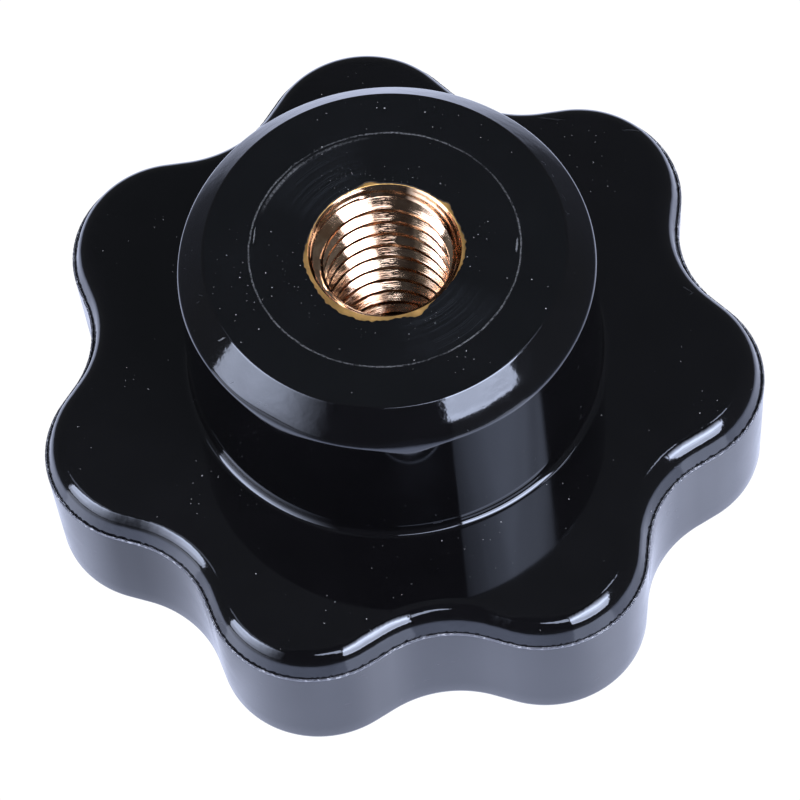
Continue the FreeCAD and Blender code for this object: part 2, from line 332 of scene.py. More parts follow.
def panel_glow(tree, strength, top_share, swell, soft_side):
    """The panel's strength at its foot, a share of it at the top, and a swell half way up."""
    square = add_node(tree, "ShaderNodeTexCoord").outputs["UV"]
    parts = add_node(tree, "ShaderNodeSeparateXYZ", Vector=square).outputs
    rise = math_node(tree, "MULTIPLY_ADD", parts["Y"], (top_share - 1) * strength, strength)
    arch = math_node(tree, "POWER", math_node(tree, "PINGPONG", parts["Y"], 0.5), ARCH_POWER)
    rise = math_node(tree, "MULTIPLY_ADD", arch, swell * strength / 0.5**ARCH_POWER, rise)
    folds = add_node(tree, "ShaderNodeMapping", Vector=square, Scale=FOLDS).outputs[0]
    folds = add_node(tree, "ShaderNodeTexNoise", Vector=folds, Scale=1, Detail=2).outputs["Fac"]
    glow = varied(tree, math_node(tree, "MAXIMUM", rise, 0), folds, 0.4, 1.6)
    side = smooth_step(tree, parts["X"], 1, 1 - soft_side)
    off_centre = [math_node(tree, "ABSOLUTE", math_node(tree, "MULTIPLY_ADD", parts[axis], 2, -1))
                  for axis in ("X", "Y")]
    corner = math_node(tree, "ADD", *[math_node(tree, "POWER", off, CORNER_POWER) for off in off_centre])
    glow = math_node(tree, "MULTIPLY", glow, side)
    return math_node(tree, "MULTIPLY", glow, smooth_step(tree, corner, 1, 0.9))


def soft_panel(name, corners, strength, top_share=1, swell=0, soft_side=0.1, distance=PANEL_DISTANCE):
    """Hangs a panel between four directions, given as azimuth and elevation in degrees."""
    material = empty_material(name)
    tree = material.node_tree
    glow = panel_glow(tree, strength, top_share, swell, soft_side)
    light = add_node(tree, "ShaderNodeEmission", Color=COOL_WHITE, Strength=glow).outputs[0]
    add_node(tree, "ShaderNodeOutputMaterial", Surface=light)
    spots = [direction(math.radians(a), math.radians(e)) * distance for a, e in corners]
    panel = flat_panel(name, spots, material)
    panel.visible_camera = False
    return panel


panels = [
    soft_panel("left_panel", [(194, 2), (250, 2), (248, 49), (186, 43)], strength=4.4,
               top_share=3, swell=0.3, soft_side=0.75),
    soft_panel("upper_left_panel", [(172, 44), (226, 48), (230, 54), (168, 50)], strength=1.7),
    soft_panel("right_panel", [(-60, 17), (-25, 14), (38, 70), (-48, 72)], strength=11.5,
               top_share=-0.15, swell=1.6, soft_side=0.04),
    soft_panel("left_tail", [(-88, 53), (-58, 40), (-56, 57), (-88, 57)], strength=7),
    soft_panel("right_tail", [(38, 64), (60, 69), (60, 71), (38, 72)], strength=6, soft_side=0.5),
    # The dark gap is a dim panel in front, a painted shade in what the knob mirrors
    soft_panel("dark_gap", [(-118, 1), (-60, 1), (-20, 82), (-140, 82)], strength=0.045,
               soft_side=0.05, distance=GAP_DISTANCE)]
print("panels:", [panel.name for panel in panels])

# %% [markdown]
# ## The outline of the grip
# Seen from above, the grip is seven lobes joined by seven valleys.
# A lobe is an arc, a valley is an arc that bends the other way, and a short straight flank joins them.
# Complex numbers suit a plan like this: a turn is one product, and a mirror image is a conjugate.

# %% Outline
LOBE_STEPS = 34
FLANK_STEPS = 8
VALLEY_STEPS = 30
SECTOR = 2 * math.pi / LOBES


def valley_arc_radius():
    """The valley's radius, for which the straight flank has its length."""
    reach = TIP_RADIUS - LOBE_RADIUS
    lean = math.cos(SECTOR / 2)
    known = LOBE_RADIUS**2 + FLANK**2 - VALLEY_RADIUS**2 + 2 * VALLEY_RADIUS * reach * lean - reach**2
    return known / (2 * (VALLEY_RADIUS - LOBE_RADIUS - reach * lean))


def half_lobe():
    """Points and outward normals from a lobe's tip to the middle of the next valley."""
    valley = valley_arc_radius()
    lobe_centre = complex(TIP_RADIUS - LOBE_RADIUS, 0)
    valley_centre = (VALLEY_RADIUS + valley) * np.exp(0.5j * SECTOR)
    link = valley_centre - lobe_centre
    flank_angle = np.angle(link) - math.acos((LOBE_RADIUS + valley) / abs(link))
    lobe_normals = np.exp(1j * np.linspace(0, flank_angle, LOBE_STEPS + 1))
    valley_normals = np.exp(1j * np.linspace(flank_angle, SECTOR / 2, VALLEY_STEPS + 1))
    on_lobe = lobe_centre + LOBE_RADIUS * lobe_normals
    on_valley = valley_centre - valley * valley_normals
    share = np.linspace(0, 1, FLANK_STEPS + 1)[1:-1]
    on_flank = on_lobe[-1] + share * (on_valley[0] - on_lobe[-1])
    flank_normals = np.full(len(share), lobe_normals[-1])
    points = np.concatenate([on_lobe, on_flank, on_valley])
    return points, np.concatenate([lobe_normals, flank_normals, valley_normals])


def whole_round(half):
    """Mirrors a half lobe about the valley and repeats it for every lobe."""
    mirrored = np.exp(1j * SECTOR) * np.conj(half[::-1])
    sector = np.concatenate([half[:-1], mirrored[:-1]])
    return np.concatenate([sector * np.exp(1j * SECTOR * lobe) for lobe in range(LOBES)])


outline, outward = (whole_round(part) for part in half_lobe())
radial = outline / np.abs(outline)
angles = np.angle(radial)
print("outline of", len(outline), "points, valley arc", round(valley_arc_radius() / MM, 2), "mm")

# %% [markdown]
# ## Rows of points
# A moulding like this is easiest to build as rows of points, one row above the other.
# A grip row follows the outline at some inset, and a round row follows a circle.
# Both have as many points, so any two rows can be joined by a band of quads.


# %% Rows
def grip_row(inset, height):
    """A row that follows the outline, moved inwards by inset."""
    flat = outline - inset * outward
    return np.column_stack([flat.real, flat.imag, np.broadcast_to(height, flat.shape)])


def round_row(radius, height, facing=radial):
    """A row that follows a circle, whose radius and height may change with the angle."""
    flat = radius * facing
    return np.column_stack([flat.real, flat.imag, np.broadcast_to(height, flat.shape)])


def bend(before, corner, after, steps):
    """The points of a rounded corner, from before to after, pulled towards the corner."""
    share = np.linspace(0, 1, steps + 1)
    return [(1 - s)**2 * before + 2 * s * (1 - s) * corner + s**2 * after for s in share]


def waves(count, orders, seed):
    """A smooth wave round the knob, of random parts, from about -1 to 1, for every column."""
    source = np.random.default_rng(seed)
    turns = source.integers(*orders, count)
    phases = source.uniform(0, 2 * math.pi, count)
    return sum(np.cos(k * angles + p) for k, p in zip(turns, phases)) * math.sqrt(2 / count) / 1.6


def near_angle(angle, spread):
    """One at an angle and falling to nothing on both sides of it, for every column."""
    return np.exp(-(np.angle(radial * np.exp(-1j * angle)) / spread)**2)


# %% [markdown]
# The bands of quads between the rows make one closed skin.
# Each row carries the name of the finish on the band below it, so a face knows its material.
# Edges that bend by more than an angle stay sharp, and everything else is shaded smooth.

# %% Skin
SHARP_ANGLE = math.radians(32)


def skin(name, bands, finishes):
    """A closed mesh from (row, finish) pairs. The first and the last row close to a point."""
    rows = [row for row, finish in bands]
    columns = len(rows[0])
    poles = [rows[place].mean(axis=0)[None] for place in (0, -1)]
    points = np.concatenate(rows + poles)
    here = np.arange(columns)
    there = np.roll(here, -1)
    faces = []
    looks = []
    for place, (row, finish) in enumerate(bands[1:]):
        low = place * columns
        high = low + columns
        faces += np.column_stack([low + here, low + there, high + there, high + here]).tolist()
        looks += [finishes.index(finish)] * columns
    last = (len(rows) - 1) * columns
    first_pole = np.full(columns, len(rows) * columns)
    faces += np.column_stack([first_pole, there, here]).tolist()
    faces += np.column_stack([first_pole + 1, last + here, last + there]).tolist()
    looks += [finishes.index(bands[0][1])] * columns + [finishes.index(bands[-1][1])] * columns
    mesh = bpy.data.meshes.new(name)
    mesh.from_pydata(points.tolist(), [], faces)
    mesh.polygons.foreach_set("material_index", looks)
    mesh.polygons.foreach_set("use_smooth", [True] * len(faces))
    mesh.set_sharp_from_angle(angle=SHARP_ANGLE)
    mesh.update()
    piece = bpy.data.objects.new(name, mesh)
    bpy.context.scene.collection.objects.link(piece)
    return piece


# %% [markdown]
# ## The grip's foot and wall
# The wall leans in by the mould's draft, and its foot is eased. Underneath, the knob is flat.
# A straight wall needs no rows in its middle. Rows close to its ends keep its shading straight,
# because a smooth shaded corner bends the light on the whole quad beside it.

# %% Foot and wall rows
SUPPORT = 0.05 * MM
FOOT_ROUND = 0.6 * MM
FOOT_STEPS = 5
WALL_SUPPORT = 1.2 * MM
UNDERSIDE_RADII = (6 * MM, 16 * MM)


def wall_inset(height):
    """How far the drafted wall lies inside the outline at a height."""
    return (PARTING_HEIGHT - height) * math.tan(WALL_DRAFT)


def foot_rows():
    """The flat underside and the eased foot of the wall."""
    before = np.array([wall_inset(0) + FOOT_ROUND, 0])
    corner = np.array([wall_inset(0), 0])
    after = np.array([wall_inset(FOOT_ROUND), FOOT_ROUND])
    bands = [(round_row(radius, 0), "underside") for radius in UNDERSIDE_RADII]
    bands.append((grip_row(before[0] + SUPPORT, 0), "underside"))
    return bands + [(grip_row(*point), "side_wall") for point in bend(before, corner, after, FOOT_STEPS)]


def wall_rows():
    """The drafted wall, up to the ragged edge of the ledge."""
    heights = (FOOT_ROUND + WALL_SUPPORT, PARTING_HEIGHT - 4 * SUPPORT, PARTING_HEIGHT - 2 * SUPPORT)
    return [(grip_row(wall_inset(height), height), "side_wall") for height in heights]


wall_bands = foot_rows() + wall_rows()
print("foot and wall:", len(wall_bands), "rows")

# %% [markdown]
# ## The ledge and the rounded edge
# The mould has two halves, and the upper one is a little smaller, so a narrow ledge runs round.
# Resin was squeezed out between the halves there, and that flash was broken off along the ledge.
# What is left is a pale ragged line with a dark crack behind it, widest at the front.
# The rest of the flash fills the corner, so above the crack the land leans up to the rounded edge.

# %% Ledge and edge rows
BEAD_STEPS = 18
BROKEN_BACK = 0.09 * MM
CRUMB_HEIGHT = 0.10 * MM
CRACK_PLACE = 0.14 * MM
CRACK_DEPTH = 0.09 * MM
CRACK_ANGLE = math.radians(-88)
CRACK_SPREAD = math.radians(8)
LAND_FOOT = 0.18 * MM
LAND_LEAN = math.radians(19)


def ledge_rows():
    """The ledge between the mould halves, with what the broken flash left on it."""
    slow = waves(8, (2, 16), seed=11)
    fast = waves(60, (150, 480), seed=12)
    widest = near_angle(CRACK_ANGLE, CRACK_SPREAD)
    crack = CRACK_DEPTH * np.clip(widest + 0.6 * waves(7, (2, 12), seed=13), 0.05, 1)
    back = BROKEN_BACK * np.clip(0.3 + 0.25 * slow + 0.35 * fast, 0.02, 1)
    crumb = CRUMB_HEIGHT * np.clip(0.1 + 0.4 * slow + 0.7 * fast, -0.4, 1)
    places = [(0.4 * back, -SUPPORT), (back, crumb), (0.5 * (back + CRACK_PLACE), 0.6 * crumb),
              (CRACK_PLACE - 0.25 * crack, 0.2 * crumb), (CRACK_PLACE, -crack)]
    return [(grip_row(inset, PARTING_HEIGHT + rise), "flash") for inset, rise in places]


def bead_point(turn):
    """A point of the rounded edge, at a turn from its side up to the face, as inset and height."""
    inset = PARTING_STEP + BEAD_RADIUS * (1 - math.cos(turn))
    return np.array([inset, FACE_HEIGHT - BEAD_RADIUS + BEAD_RADIUS * math.sin(turn)])


def bead_rows():
    """The leaning land and the rounded edge, up to the face."""
    foot = np.array([LAND_FOOT, PARTING_HEIGHT])
    top = bead_point(LAND_LEAN)
    bands = [(grip_row(*(foot + share * (top - foot))), "bead") for share in (0, 0.1, 0.9)]
    turns = np.linspace(LAND_LEAN, math.pi / 2, BEAD_STEPS + 1)
    bands += [(grip_row(*bead_point(turn)), "bead") for turn in turns]
    bands.append((grip_row(PARTING_STEP + BEAD_RADIUS + SUPPORT, FACE_HEIGHT), "grip"))
    return bands


edge_bands = ledge_rows() + bead_rows()
print("ledge and rounded edge:", len(edge_bands), "rows")

# %% [markdown]
# ## The hub's root
# The hub rises from the face through a small round. A mould maker leaves it, because a sharp
# inner corner would crack. Its rows step round a quarter circle, from the face to the wall.

# %% Root rows
ROOT_STEPS = 12


def hub_radius(height):
    """The hub's radius, which narrows a little towards the rim."""
    return RIM_RADIUS + (RIM_HEIGHT - height) * math.tan(HUB_DRAFT)


def root_rows():
    """The round between the face and the hub's wall."""
    top = FACE_HEIGHT + ROOT_ROUND
    centre = hub_radius(top) + ROOT_ROUND
    bands = [(round_row(centre + SUPPORT, FACE_HEIGHT), "grip")]
    for turn in np.linspace(-math.pi / 2, -math.pi, ROOT_STEPS + 1):
        point = (centre + ROOT_ROUND * math.cos(turn), top + ROOT_ROUND * math.sin(turn))
        bands.append((round_row(*point), "hub"))
    bands.append((round_row(hub_radius(top + SUPPORT), top + SUPPORT), "hub"))
    return bands


root_bands = root_rows()
print("root:", len(root_bands), "rows")

# %% [markdown]
# ## The rim and the chamfer
# The chamfer was polished by hand, so it falls away towards its rim, most at the front right.
# The rim is narrow, apart from a few worn places at the front where it is broader.
# The corner that pulls the rim's round lies where the fallen chamfer, drawn on, meets the wall.
# So the round starts along the chamfer and no line shows where they join.

# %% Rim rows
RIM_STEPS = 8
RIM_ROUND = 0.26 * MM
# Each worn place is an angle, a half width and how much broader the rim is there
WORN_PLACES = [(math.radians(-78), math.radians(6.5), 0.55 * MM),
               (math.radians(-117), math.radians(9), 0.3 * MM),
               (math.radians(-48), math.radians(5), 0.08 * MM)]
CROWN_WIDTH = 1.6 * MM
CROWN_FALL = math.radians(11)
CROWN_LEAST = 0.12
CROWN_PLACE = math.radians(-52)
CROWN_SPREAD = math.radians(45)
CROWN_SHARES = (0.12, 0.24, 0.36, 0.48, 0.6, 0.8, 1.0)
NUDGE = 0.01 * MM
CHAMFER_RISE = HUB_TOP - RIM_HEIGHT
CHAMFER_RUN = RIM_RADIUS - HUB_FACE_RADIUS
CHAMFER_LENGTH = math.hypot(CHAMFER_RISE, CHAMFER_RUN)


def chamfer_point(along, crown=CROWN_LEAST):
    """A point of the chamfer, at a distance along it from the rim, as radius and height."""
    left = np.clip(1 - along / CROWN_WIDTH, 0, 1)
    fall = crown * 0.5 * CROWN_WIDTH * math.tan(CROWN_FALL) * left**2
    radius = RIM_RADIUS - (along * CHAMFER_RUN + fall * CHAMFER_RISE) / CHAMFER_LENGTH
    return radius, RIM_HEIGHT + (along * CHAMFER_RISE - fall * CHAMFER_RUN) / CHAMFER_LENGTH


def rim_rows():
    """The rim's round, broader at the worn places, and the chamfer above it."""
    size = RIM_ROUND + sum(broader * near_angle(angle, spread) for angle, spread, broader in WORN_PLACES)
    crown = CROWN_LEAST + (1 - CROWN_LEAST) * near_angle(CROWN_PLACE, CROWN_SPREAD)
    after = np.array(chamfer_point(size, crown))
    ahead = np.array(chamfer_point(size + NUDGE, crown)) - after
    rim = after[1] + ahead[1] / ahead[0] * (RIM_RADIUS - after[0])
    corner = np.array([np.full(len(radial), RIM_RADIUS), rim])
    foot = rim - size
    before = np.array([hub_radius(foot), foot])
    bands = [(round_row(hub_radius(foot - SUPPORT), foot - SUPPORT), "hub")]
    bands += [(round_row(*point), "chamfer") for point in bend(before, corner, after, RIM_STEPS)]
    for share in CROWN_SHARES:
        along = size + share * (CROWN_WIDTH - size)
        bands.append((round_row(*chamfer_point(along, crown)), "chamfer"))
    return bands


rim_bands = rim_rows()
print("rim and chamfer:", len(rim_bands), "rows")

# %% [markdown]
# ## The end face
# A small round leads from the chamfer to the flat end face.
# A stop in the mould left a witness ring there: a groove of a few thousandths of a millimetre.
# It is real depth here, as four rows, and the pale line in it, a painted highlight where the groove
# catches the light, is painted by a node group below.

# %% End face rows
FACE_EDGE_ROUND = 0.12 * MM
FACE_EDGE_STEPS = 4
WITNESS_DEPTH = 4 * MICRON
WITNESS_HALF = 0.03 * MM
# Each row of the groove is a place across it, in half widths, and a share of its depth
WITNESS_ROWS = ((2, 0), (1, 1), (-1, 1), (-2, 0))


def end_face_rows():
    """The small round above the chamfer, and the end face with its witness ring."""
    start = CHAMFER_LENGTH - FACE_EDGE_ROUND
    before = np.array(chamfer_point(start))
    corner = np.array([HUB_FACE_RADIUS, HUB_TOP])
    after = np.array([HUB_FACE_RADIUS - FACE_EDGE_ROUND, HUB_TOP])
    bands = [(round_row(*chamfer_point(start - SUPPORT)), "chamfer")]
    bands += [(round_row(*point), "chamfer") for point in bend(before, corner, after, FACE_EDGE_STEPS)]
    bands.append((round_row(after[0] - SUPPORT, HUB_TOP), "end_face"))
    for across, sunk in WITNESS_ROWS:
        radius = WITNESS_RADIUS + across * WITNESS_HALF
        bands.append((round_row(radius, HUB_TOP - sunk * WITNESS_DEPTH), "end_face"))
    return bands


face_bands = end_face_rows()
print("end face:", len(face_bands), "rows")

# %% [markdown]
# ## The film of resin round the mouth
# Resin crept over the brass end and was broken away, so the mouth has a ragged edge.
# Where more of the film broke off, the brass shows: as a crescent at the front, and as small flakes.
# Each broken place is a soft bump in the edge's radius, and a random wave adds the nicks.

# %% Mouth rows
MOUTH_RADIUS = 5.1 * MM
FILM_EDGE = 5.12 * MM
FILM_LEAST_WIDTH = 0.04 * MM
# Each place where the film broke off is an angle, a half width and how far back it broke
BROKEN_FILM = [(math.radians(-108), math.radians(40), 0.52 * MM),
               (math.radians(-60), math.radians(8), 0.42 * MM),
               (math.radians(-167), math.radians(15), 0.24 * MM),
               (math.radians(5), math.radians(20), 0.24 * MM),
               (math.radians(43), math.radians(7), 0.28 * MM),
               (math.radians(108), math.radians(6), 0.24 * MM)]
NICK = 0.012 * MM
FILM_UNDER = BUSH_TOP + 0.01 * MM
HAIR = 0.01 * MM


def film_edge():
    """The ragged inner edge of the resin film, for every column."""
    back = sum(reach * near_angle(angle, spread) for angle, spread, reach in BROKEN_FILM)
    nicks = (NICK + 0.12 * back) * waves(24, (6, 80), seed=21)
    return np.clip(FILM_EDGE + back + nicks, MOUTH_RADIUS, NOSE_RADIUS - FILM_LEAST_WIDTH)


def mouth_rows():
    """The end face up to the film's ragged edge, and the film's underside."""
    edge = film_edge()
    step = HUB_TOP - 0.3 * (HUB_TOP - FILM_UNDER)
    return [(round_row(edge + 2 * HAIR, HUB_TOP), "end_face"),
            (round_row(edge + 0.5 * HAIR, step), "film"),
            (round_row(edge, FILM_UNDER), "film"),
            (round_row(NOSE_RADIUS + HAIR, FILM_UNDER), "film")]


mouth_bands = mouth_rows()
print("film edge:", [round(v / MM, 2) for v in (film_edge().min(), film_edge().max())], "mm")

# %% [markdown]
# ## The seat of the bush
# The bush is held by a waist and by a straight knurl, because the resin set round both.
# One profile serves two pieces: the bush itself, and the cavity in the moulding, a hair wider.

# %% Seat rows
KNURLS = 24
KNURL_DEPTH = 0.5 * MM
KNURL_FLAT = 0.7
WAIST_RADIUS = 5.9 * MM
WAIST_HEIGHT = 12.0 * MM
WAIST_WIDTH = 3.0 * MM
BARREL_CHAMFER = 0.5 * MM
SEAT_POLE_RADIUS = 1 * MM


def knurl_radius(facing):
    """The barrel's radius, with its straight knurl of small grooves."""
    phase = np.abs(np.mod(facing * KNURLS / (2 * math.pi), 1) - 0.5) * 2
    groove = np.clip((phase - KNURL_FLAT) / (1 - KNURL_FLAT), 0, 1)
    return BARREL_RADIUS - KNURL_DEPTH * groove


def barrel_profile(gap, facing):
    """The bush's outer form below its nose, as (radius, height) pairs from the top down."""
    chamfered = BARREL_RADIUS - BARREL_CHAMFER + gap
    barrel = knurl_radius(facing) + gap
    waist_top = WAIST_HEIGHT + WAIST_WIDTH / 2 - gap
    waist_foot = WAIST_HEIGHT - WAIST_WIDTH / 2 + gap
    top = SHOULDER_HEIGHT + gap
    foot = BUSH_FOOT - gap
    return [(NOSE_RADIUS + gap, top), (np.minimum(chamfered, barrel), top),
            (barrel, top - BARREL_CHAMFER), (barrel, waist_top),
            (WAIST_RADIUS + gap, waist_top), (WAIST_RADIUS + gap, waist_foot),
            (barrel, waist_foot), (barrel, foot + BARREL_CHAMFER), (np.minimum(chamfered, barrel), foot)]


def seat_rows():
    """The hidden cavity that the bush fills."""
    profile = barrel_profile(HAIR, angles) + [(SEAT_POLE_RADIUS, BUSH_FOOT - HAIR)]
    return [(round_row(radius, height), "seat") for radius, height in profile]


seat_bands = seat_rows()
print("seat:", len(seat_bands), "rows")

# %% [markdown]
# ## One moulding
# All the rows, from the underside up over the hub and down into the seat, become one piece.
# It rides the only body, and it stands in for the plain solid.

# %% Moulding
BODY_FINISHES = ["underside", "side_wall", "flash", "bead", "grip",
                 "hub", "chamfer", "end_face", "film", "seat"]
knob_bands = wall_bands + edge_bands + root_bands + rim_bands + face_bands + mouth_bands + seat_bands
knob = skin("knob_moulding", knob_bands, BODY_FINISHES)
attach(knob, "root")
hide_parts("knob_body")
print("knob_moulding:", len(knob.data.polygons), "faces")

# %% [markdown]
# ## The thread's form
# The bush has an M10 thread with a pitch of 1.5 mm. Its flanks meet at 60 degrees.
# Over one pitch the bore goes from a flat crest down a flank to a narrow root, and back.

# %% Thread form
PITCH = 1.5 * MM
THREAD_MAJOR = 5.0 * MM
THREAD_MINOR = 4.188 * MM
CREST_SHARE = 0.25
ROOT_SHARE = 0.125


def thread_radius(phase):
    """The thread's radius at a share of the pitch, with the middle of the crest at a whole number."""
    crest_end = CREST_SHARE / 2
    root_start = 0.5 - ROOT_SHARE / 2
    away = np.abs(np.mod(phase + 0.5, 1) - 0.5)
    depth = np.clip((away - crest_end) / (root_start - crest_end), 0, 1)
    return THREAD_MINOR + depth * (THREAD_MAJOR - THREAD_MINOR)


print("thread depth:", round((THREAD_MAJOR - THREAD_MINOR) / MM, 3), "mm")

# %% [markdown]
# ## The wound bore
# A screw modifier could wind the thread, but it makes the ends hard to close.
# Here each row climbs one pitch in a turn, so the crests stay crisp, and the ends are cut level.
# The mouth was opened with a countersink that chattered, so the upper turns carry finer ridges.

# %% Bore rows
TURN_STEPS = 240
# A multiple of 16, so that the corners of crest and root fall on rows
PITCH_STEPS = 16
THREAD_START = 0.5
THREAD_FOOT = BUSH_TOP - 18.3 * MM
RUN_OUT = 1.6 * MM
LIP = 0.035 * MM
MOUTH_SLOPE = 0.65
RIDGES_PER_PITCH = 4
RIDGE_DEPTH = 0.03 * MM
RIDGES_FROM = 0.15 * MM
RIDGES_TO = 4.5 * MM


def bore_grid():
    """The wound rows of the bore from the mouth down, as an array of rows by columns by xyz."""
    turn = np.arange(TURN_STEPS + 1) / TURN_STEPS
    count = math.ceil((BUSH_TOP - THREAD_FOOT) / PITCH + 1) * PITCH_STEPS
    step = np.arange(count + 1)[:, None] / PITCH_STEPS
    wound = BUSH_TOP + PITCH - step * PITCH - (1 - turn[None, :]) * PITCH
    height = np.clip(wound, THREAD_FOOT, BUSH_TOP - LIP)
    phase = step - (height - wound) / PITCH
    run_out = np.clip((height - THREAD_FOOT) / RUN_OUT, 0, 1)
    radius = THREAD_MINOR + (thread_radius(phase + THREAD_START) - THREAD_MINOR) * run_out
    deep = BUSH_TOP - LIP - height
    ridge = np.abs(np.mod(RIDGES_PER_PITCH * phase, 1) - 0.5)
    ridge *= np.clip(deep / RIDGES_FROM, 0, 1) * np.clip(1 - deep / RIDGES_TO, 0, 1)
    radius = np.maximum(radius, MOUTH_RADIUS - MOUTH_SLOPE * deep) - 2 * RIDGE_DEPTH * ridge
    around = 2 * math.pi * turn[None, :]
    return np.stack([radius * np.cos(around), radius * np.sin(around), height], axis=-1)


bore = bore_grid()
print("bore:", bore.shape[0], "rows of", bore.shape[1], "points")

# %% [markdown]
# ## The bush
# The rest of the bush is wound from three short profiles: the brass end, the barrel and the drill point.
# They start and end on the bore, on each other or on the axis, so merging what meets closes the piece.

# %% Bush
NOSE_BEVEL = 0.1 * MM
DRILL_SLOPE = 1 / math.tan(math.radians(59))
MERGE_DISTANCE = 0.2 * MICRON
BUSH_SHARP_ANGLE = math.radians(25)
BUSH_FINISHES = ["thread", "brass_end", "barrel"]


def strips(start, rows, columns):
    """Quads between rows of points that are stored one after the other."""
    here = start + np.arange(columns - 1)
    across = [np.column_stack([here, here + columns, here + columns + 1, here + 1]) + row * columns
              for row in range(rows - 1)]
    return np.concatenate(across).tolist()


def bush_profiles(facing):
    """The bush without its bore: each part's finish, with its (radius, height) pairs."""
    edge = NOSE_RADIUS - NOSE_BEVEL
    mouth = [(MOUTH_RADIUS, BUSH_TOP - LIP), (MOUTH_RADIUS + LIP, BUSH_TOP), (edge, BUSH_TOP)]
    nose = [(edge, BUSH_TOP), (NOSE_RADIUS, BUSH_TOP - NOSE_BEVEL)]
    point = [(THREAD_MINOR, THREAD_FOOT), (0, THREAD_FOOT - THREAD_MINOR * DRILL_SLOPE)]
    return [("brass_end", mouth), ("barrel", nose + barrel_profile(0, facing) + [(0, BUSH_FOOT)]),
            ("thread", point)]


def bush_mesh():
    """The bore and the profiles wound round the axis, merged where they meet."""
    columns = bore.shape[1]
    facing = 2 * math.pi * np.arange(columns) / TURN_STEPS
    points = bore.reshape(-1, 3).tolist()
    faces = strips(0, len(bore), columns)
    looks = [BUSH_FINISHES.index("thread")] * len(faces)
    for finish, profile in bush_profiles(facing):
        added = strips(len(points), len(profile), columns)
        faces += added
        looks += [BUSH_FINISHES.index(finish)] * len(added)
        for radius, height in profile:
            points += round_row(radius, height, np.exp(1j * facing)).tolist()
    mesh = bpy.data.meshes.new("brass_bush")
    mesh.from_pydata(points, [], faces)
    mesh.polygons.foreach_set("material_index", looks)
    merged = bmesh.new()
    merged.from_mesh(mesh)
    bmesh.ops.remove_doubles(merged, verts=merged.verts, dist=MERGE_DISTANCE)
    bmesh.ops.recalc_face_normals(merged, faces=merged.faces)
    merged.to_mesh(mesh)
    merged.free()
    mesh.polygons.foreach_set("use_smooth", [True] * len(mesh.polygons))
    mesh.set_sharp_from_angle(angle=BUSH_SHARP_ANGLE)
    mesh.update()
    return mesh


bush = bpy.data.objects.new("brass_bush", bush_mesh())
bpy.context.scene.collection.objects.link(bush)
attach(bush, "root")
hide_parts("threaded_insert")
print("brass_bush:", len(bush.data.polygons), "faces")

# %% [markdown]
# ## Shared effects
# Dust, scratches and cloudy polish turn up on more than one finish.
# Each is a node group with named inputs, built once and placed with its own values.
# A group only gives a mask or a value that changes over the surface. The shader stays outside it.


# %% Group helpers
def new_group(name, output, **inputs):
    """An empty node group with one float output, and with float inputs given with their defaults."""
    tree = bpy.data.node_groups.new(name, "ShaderNodeTree")
    for label, value in inputs.items():
        socket = tree.interface.new_socket(name=label, in_out="INPUT", socket_type="NodeSocketFloat")
        socket.default_value = value
    tree.interface.new_socket(name=output, in_out="OUTPUT", socket_type="NodeSocketFloat")
    return tree


def given_inputs(tree):
    """The sockets that bring a group's inputs in."""
    return add_node(tree, "NodeGroupInput").outputs


def place_group(tree, group, **inputs):
    """Places a node group in a tree and gives its result."""
    return add_node(tree, "ShaderNodeGroup", {"node_tree": group}, **inputs).outputs[0]


def object_place(tree):
    """The place on the object, in metres of the shared frame."""
    return add_node(tree, "ShaderNodeTexCoord").outputs["Object"]


def flat_place(tree):
    """The place across the axis, and the distance from the axis."""
    parts = add_node(tree, "ShaderNodeSeparateXYZ", Vector=object_place(tree)).outputs
    across = add_node(tree, "ShaderNodeCombineXYZ", X=parts["X"], Y=parts["Y"]).outputs[0]
    return across, vector_node(tree, "LENGTH", across)


def per_metre(tree, millimetres):
    """A texture's scale for a spacing that is given in millimetres by a socket."""
    return math_node(tree, "DIVIDE", 1 / MM, millimetres)


# %% [markdown]
# ### Dust
# Dust is bright specks of many sizes, far apart, with here and there a cluster.
# A Voronoi texture gives one point for each cell. Each cell draws a random number, and few get a speck.
# On a flat face the cells are cut in two dimensions, so that no speck is lost above or below it.


# %% Dust groups
def dust_group(name, dimensions):
    """Specks: Density is the share of cells that hold one, Spacing is in millimetres."""
    tree = new_group(name, "Mask", Spacing=0.6, Density=0.1, Size=0.1)
    given = given_inputs(tree)
    cells = add_node(tree, "ShaderNodeTexVoronoi", {"voronoi_dimensions": dimensions},
                     Vector=object_place(tree), Scale=per_metre(tree, given["Spacing"])).outputs
    lot = add_node(tree, "ShaderNodeSeparateColor", Color=cells["Color"]).outputs
    crowding = smooth_step(tree, noise(tree, object_place(tree), 0.16, 2), 0.42, 0.66)
    limit = math_node(tree, "MULTIPLY", given["Density"], crowding)
    chosen = math_node(tree, "LESS_THAN", lot["Red"], limit)
    size = varied(tree, given["Size"], lot["Green"], 0.3, 1.1)
    near = math_node(tree, "LESS_THAN", cells["Distance"], size)
    bright = math_node(tree, "MULTIPLY_ADD", math_node(tree, "POWER", lot["Blue"], 3), 0.85, 0.15)
    mask = math_node(tree, "MULTIPLY", math_node(tree, "MULTIPLY", chosen, near), bright)
    add_node(tree, "NodeGroupOutput", Mask=mask)
    return tree


dust_on_walls = dust_group("dust_on_walls", "3D")
dust_on_flats = dust_group("dust_on_flats", "2D")
print("dust group inputs:", [item.name for item in dust_on_flats.interface.items_tree])

# %% [markdown]
# ### Hair scratches
# Handling leaves long fine scratches, in a few directions and in patches.
# A Voronoi texture that is stretched along one direction has cell edges that look like scratches.

# %% Scratch group
SCRATCH_TURNS = (0.4, 1.7, 2.6)
SCRATCH_STRETCH = (0.06, 1, 1)
SCRATCH_DRIFT = 3 * MM


